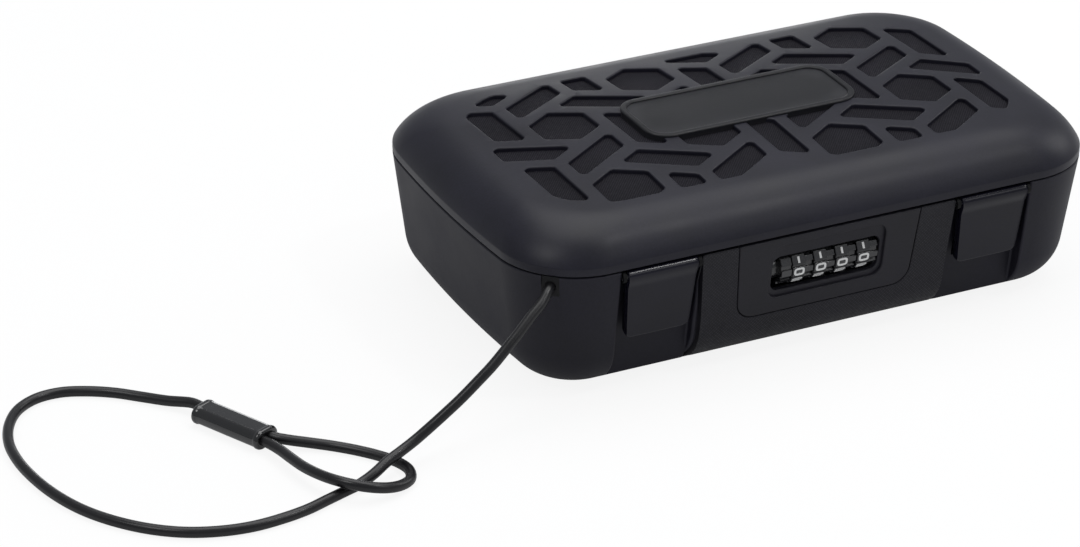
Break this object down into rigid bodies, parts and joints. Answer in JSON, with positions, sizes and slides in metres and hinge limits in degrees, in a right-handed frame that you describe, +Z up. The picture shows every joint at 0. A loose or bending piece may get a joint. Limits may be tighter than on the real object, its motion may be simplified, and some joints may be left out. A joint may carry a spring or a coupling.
{
  "type": "portable safe",
  "caption": "Portable safe with a hinged domed lid, drop latches, a code lock and a coated steel cable that loops round a fixed object.",
  "frame": {"origin": "centre of the case at the ground, under its feet", "axes": "+X along the case to the right as seen from the lock, -Y out of the lock side, +Z up"},
  "size_m": [0.4119, 0.1744, 0.0707],
  "materials": {
    "shell": "fine matte grain, black",
    "textured_skin": "knurled, black",
    "foam": "soft foam, dark grey",
    "seal": "matte, black",
    "feet": "matte, black",
    "hinge": "satin black",
    "steel": "plain",
    "lock_panel": "fine matte grain, black",
    "lock_case": "plain, dark grey",
    "wheels": "satin, dark grey",
    "inner_cover": "plain, black",
    "reset_lever": "plain, red",
    "brass": "plain",
    "lid_panel": "fine mesh texture, black",
    "latches": "fine matte grain, black",
    "cable": "smooth coating over steel wire, black",
    "cable_sleeve": "shiny, black"
  },
  "bodies": {
    "tub": {"base_shell": "shell", "front_bumper": "textured_skin", "base_liner": "foam", "rim_gasket": "seal", "feet": "feet", "hinge_leaves": "hinge", "hinge_pins": "steel", "hinge_screws": "steel", "lock_panel": "lock_panel", "lock_case": "lock_case", "lock_cover": "lock_case", "lock_screws": "steel", "detent_spring": "steel", "wheel_spacer": "wheels", "mechanism_cover": "inner_cover", "cable_grommet": "seal", "cable_stop": "steel", "cable": "cable", "cable_sleeve": "cable_sleeve"},
    "lid": {"lid_cover": "shell", "lid_panel": "lid_panel", "name_plate": "shell", "lid_frame": "inner_cover", "lid_liner": "foam", "lid_screws": "steel", "latch_pins": "steel"},
    "left_latch": {"latch_left": "latches", "latch_hook_left": "steel"},
    "right_latch": {"latch_right": "latches", "latch_hook_right": "steel"},
    "lock_slider": {"lock_rod": "steel", "lock_slide": "steel"},
    "reset": {"reset_lever": "reset_lever"},
    "dial_1": {"wheel_1": "wheels", "code_sleeve_1": "brass"},
    "dial_2": {"wheel_2": "wheels", "code_sleeve_2": "brass"},
    "dial_3": {"wheel_3": "wheels", "code_sleeve_3": "brass"},
    "dial_4": {"wheel_4": "wheels", "code_sleeve_4": "brass"}
  },
  "joints": [
    {"name": "lid_hinge", "type": "hinge", "parent": "tub", "child": "lid", "pos_m": [0, 0.07025, 0.05075], "axis": [-1, 0, 0], "range_deg": [0, 105]},
    {"name": "left_latch_hinge", "type": "hinge", "parent": "lid", "child": "left_latch", "pos_m": [-0.06775, -0.07079, 0.04787], "axis": [-1, 0, 0], "range_deg": [0, 100]},
    {"name": "right_latch_hinge", "type": "hinge", "parent": "lid", "child": "right_latch", "pos_m": [0.06775, -0.07079, 0.04787], "axis": [-1, 0, 0], "range_deg": [0, 100]},
    {"name": "lock_slide_travel", "type": "slide", "parent": "tub", "child": "lock_slider", "axis": [1, 0, 0], "range_m": [0, 0.0052]},
    {"name": "reset_travel", "type": "slide", "parent": "tub", "child": "reset", "axis": [1, 0, 0], "range_m": [0, 0.003]},
    {"name": "dial_1_turn", "type": "hinge", "parent": "tub", "child": "dial_1", "pos_m": [-0.00975, -0.06316, 0.03506], "axis": [1, 0, 0], "continuous": true},
    {"name": "dial_2_turn", "type": "hinge", "parent": "tub", "child": "dial_2", "pos_m": [-0.0009, -0.06316, 0.03506], "axis": [1, 0, 0], "continuous": true},
    {"name": "dial_3_turn", "type": "hinge", "parent": "tub", "child": "dial_3", "pos_m": [0.00795, -0.06316, 0.03506], "axis": [1, 0, 0], "continuous": true},
    {"name": "dial_4_turn", "type": "hinge", "parent": "tub", "child": "dial_4", "pos_m": [0.0168, -0.06316, 0.03506], "axis": [1, 0, 0], "continuous": true}
  ]
}
